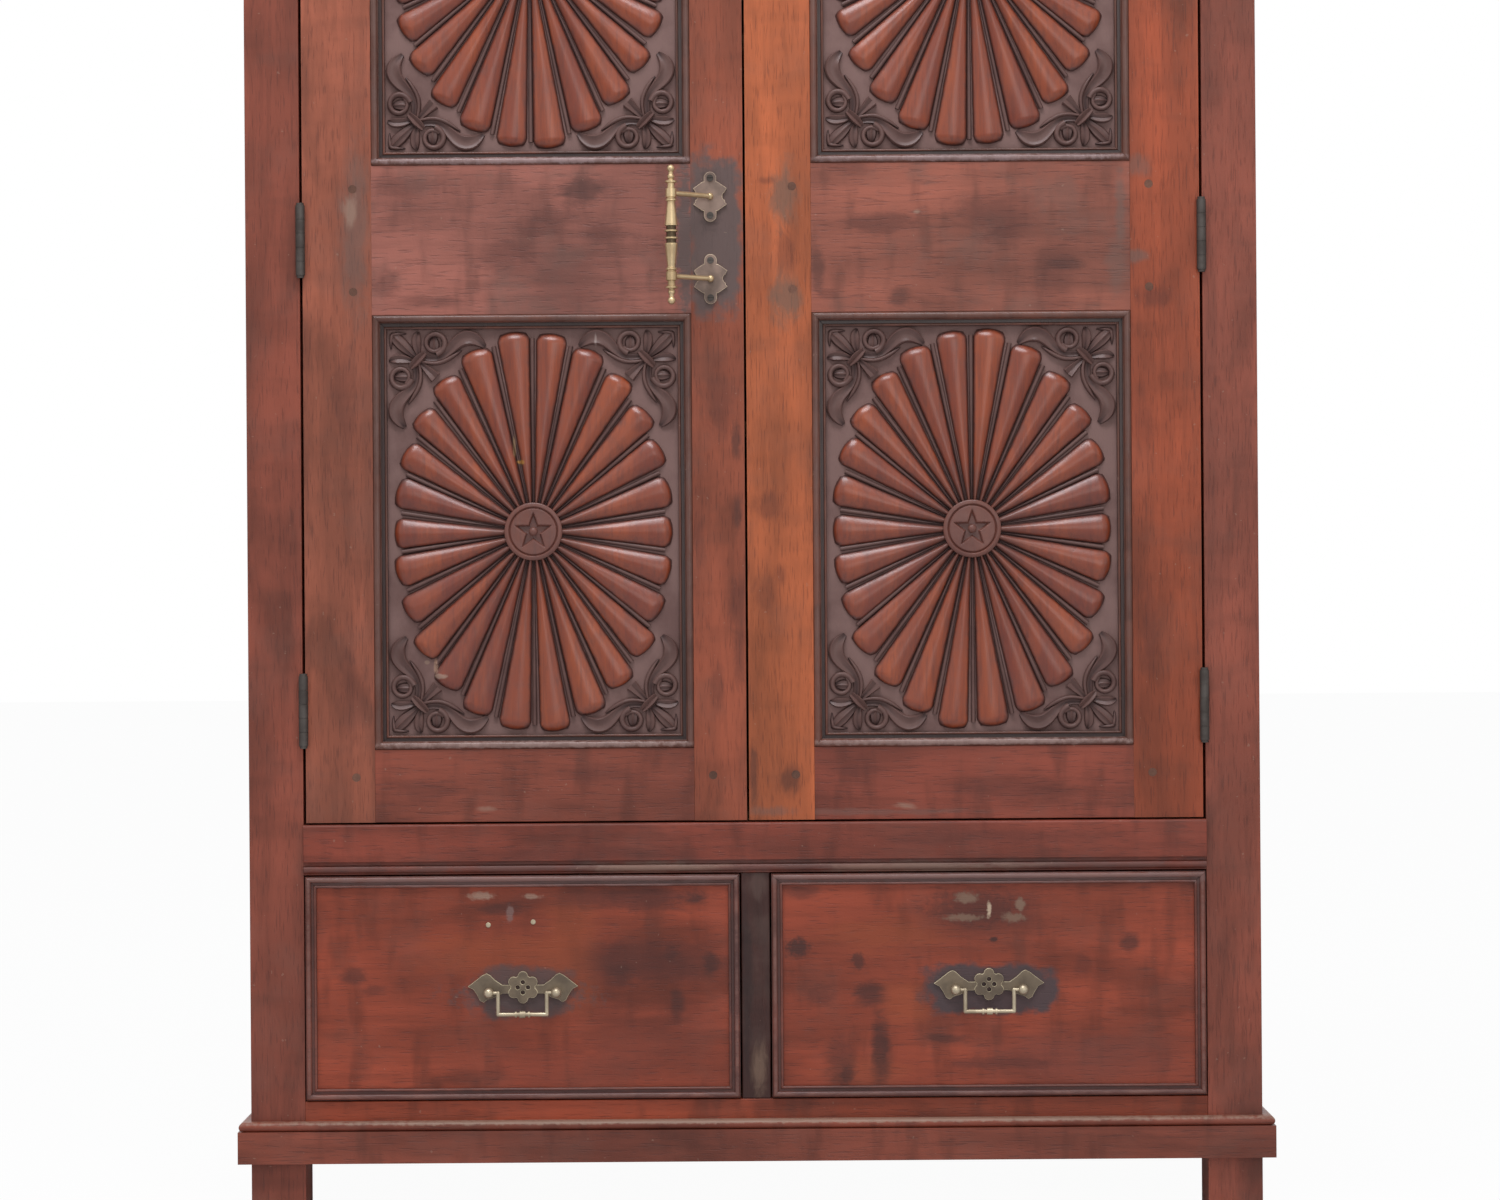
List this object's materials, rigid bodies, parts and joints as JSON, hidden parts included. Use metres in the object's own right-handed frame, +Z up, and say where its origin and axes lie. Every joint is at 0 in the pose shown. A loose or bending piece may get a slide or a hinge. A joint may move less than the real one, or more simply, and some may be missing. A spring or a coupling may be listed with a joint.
{
  "type": "carved double-door cabinet with drawers",
  "caption": "Carved wooden cabinet: hinged panelled doors with ray rosettes and corner sprays over a pair of drawers, with a turned brass pull and swinging bail handles.",
  "frame": {"origin": "floor level, in the middle of the bounding box", "axes": "+Z up, the front faces -Y, +X to the right as seen from the front"},
  "size_m": [1.138, 0.508, 1.753],
  "materials": {
    "wood": "worn satin varnish",
    "dark_wood": "dull, stained",
    "carved_wood": "worn satin varnish with dark hollows",
    "brass": "dull antique",
    "iron": "dark, plain"
  },
  "bodies": {
    "carcass": {"front_left_post": "wood", "front_right_post": "wood", "back_left_post": "wood", "back_right_post": "wood", "top_front_rail": "wood", "mid_front_rail": "wood", "bottom_front_rail": "wood", "drawer_divider": "dark_wood", "side_rails": "wood", "side_panels": "wood", "back_rails": "dark_wood", "back_boards": "dark_wood", "top_board": "wood", "cornice": "wood", "base_moulding": "wood", "cupboard_floor": "dark_wood", "shelves": "dark_wood", "shelf_cleats": "dark_wood", "drawer_runners": "dark_wood", "hinge_post_leaves": "iron", "hinge_pins": "iron"},
    "left_door": {"left_hinge_door_leaves": "iron", "left_hinge_stile": "wood", "left_meeting_stile": "wood", "left_top_rail": "wood", "left_lock_rail": "wood", "left_bottom_rail": "wood", "left_upper_panel": "carved_wood", "left_lower_panel": "carved_wood", "left_panel_mouldings": "wood", "left_pegs": "dark_wood", "door_pull_bar": "brass", "door_pull_plates": "brass", "door_pull_screws": "brass"},
    "right_door": {"right_hinge_door_leaves": "iron", "right_hinge_stile": "wood", "right_meeting_stile": "wood", "right_top_rail": "wood", "right_lock_rail": "wood", "right_bottom_rail": "wood", "right_upper_panel": "carved_wood", "right_lower_panel": "carved_wood", "right_panel_mouldings": "wood", "right_pegs": "dark_wood"},
    "left_drawer": {"left_drawer_front": "wood", "left_drawer_sides_and_back": "dark_wood", "left_drawer_bottom": "dark_wood", "left_drawer_moulding": "wood", "left_handle_plate": "brass", "left_handle_posts": "brass"},
    "right_drawer": {"right_drawer_front": "wood", "right_drawer_sides_and_back": "dark_wood", "right_drawer_bottom": "dark_wood", "right_drawer_moulding": "wood", "right_handle_plate": "brass", "right_handle_posts": "brass"},
    "left_bail": {"left_handle_bail": "brass"},
    "right_bail": {"right_handle_bail": "brass"}
  },
  "joints": [
    {"name": "left_door_hinge", "type": "hinge", "parent": "carcass", "child": "left_door", "pos_m": [-0.4815, -0.2113, 1.046], "axis": [0, 0, -1], "range_deg": [0, 120]},
    {"name": "right_door_hinge", "type": "hinge", "parent": "carcass", "child": "right_door", "pos_m": [0.4815, -0.2113, 1.046], "axis": [0, 0, 1], "range_deg": [0, 120]},
    {"name": "left_drawer_slide", "type": "slide", "parent": "carcass", "child": "left_drawer", "axis": [0, -1, 0], "range_m": [0, 0.3]},
    {"name": "right_drawer_slide", "type": "slide", "parent": "carcass", "child": "right_drawer", "axis": [0, -1, 0], "range_m": [0, 0.3]},
    {"name": "left_bail_swing", "type": "hinge", "parent": "left_drawer", "child": "left_bail", "pos_m": [-0.24925, -0.218, 0.241], "axis": [-1, 0, 0], "range_deg": [0, 90]},
    {"name": "right_bail_swing", "type": "hinge", "parent": "right_drawer", "child": "right_bail", "pos_m": [0.24925, -0.218, 0.241], "axis": [-1, 0, 0], "range_deg": [0, 90]}
  ]
}
